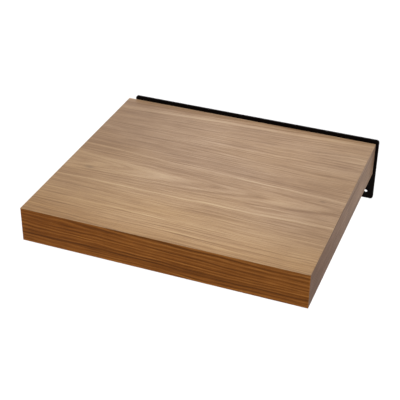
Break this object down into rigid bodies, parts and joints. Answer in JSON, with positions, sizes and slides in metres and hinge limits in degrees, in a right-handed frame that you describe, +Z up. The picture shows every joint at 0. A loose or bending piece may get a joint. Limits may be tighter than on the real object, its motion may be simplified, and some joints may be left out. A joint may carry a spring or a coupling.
{
  "type": "wall shelf",
  "caption": "Thick rectangular walnut-veneered board that floats off a wall on hidden steel arms welded to a flat black wall plate with rounded corners and screw holes.",
  "frame": {"origin": "centre of the four corner holes of the wall plate, in the plane of the plate's rear face, which is the wall", "axes": "+X to the right seen from the room, +Y into the wall, +Z up; the underside of the board is at Z = 0"},
  "size_m": [0.4045, 0.353, 0.101],
  "materials": {
    "powder_coat": "fine satin black powder coat",
    "weld_metal": "powder-coated weld",
    "zinc_steel": "bright zinc plate",
    "black_nylon": "moulded, fine texture",
    "fibreboard": "raw fibreboard",
    "pine": "planed, raw",
    "beech": "fluted, raw",
    "kraft_paper": "unbleached paper",
    "walnut_top": "satin lacquer, grain along the width",
    "walnut_edge": "satin lacquer"
  },
  "bodies": {
    "root": {"wall_plate": "powder_coat", "left_arm": "powder_coat", "right_arm": "powder_coat", "arm_welds": "weld_metal", "left_arm_cap": "black_nylon", "right_arm_cap": "black_nylon", "rivet_nuts": "zinc_steel", "lock_screws": "zinc_steel", "lock_washers": "zinc_steel", "top_panel": "fibreboard", "bottom_panel": "fibreboard", "front_rail": "pine", "left_rail": "pine", "right_rail": "pine", "rear_rail_left": "pine", "rear_rail_middle": "pine", "rear_rail_right": "pine", "rib_left_outer": "pine", "rib_left_inner": "pine", "rib_right_inner": "pine", "rib_right_outer": "pine", "frame_dowels": "beech", "paper_core": "kraft_paper", "top_veneer": "walnut_top", "front_veneer": "walnut_edge", "left_veneer": "walnut_edge", "right_veneer": "walnut_edge", "bottom_veneer": "walnut_edge"}
  },
  "joints": []
}
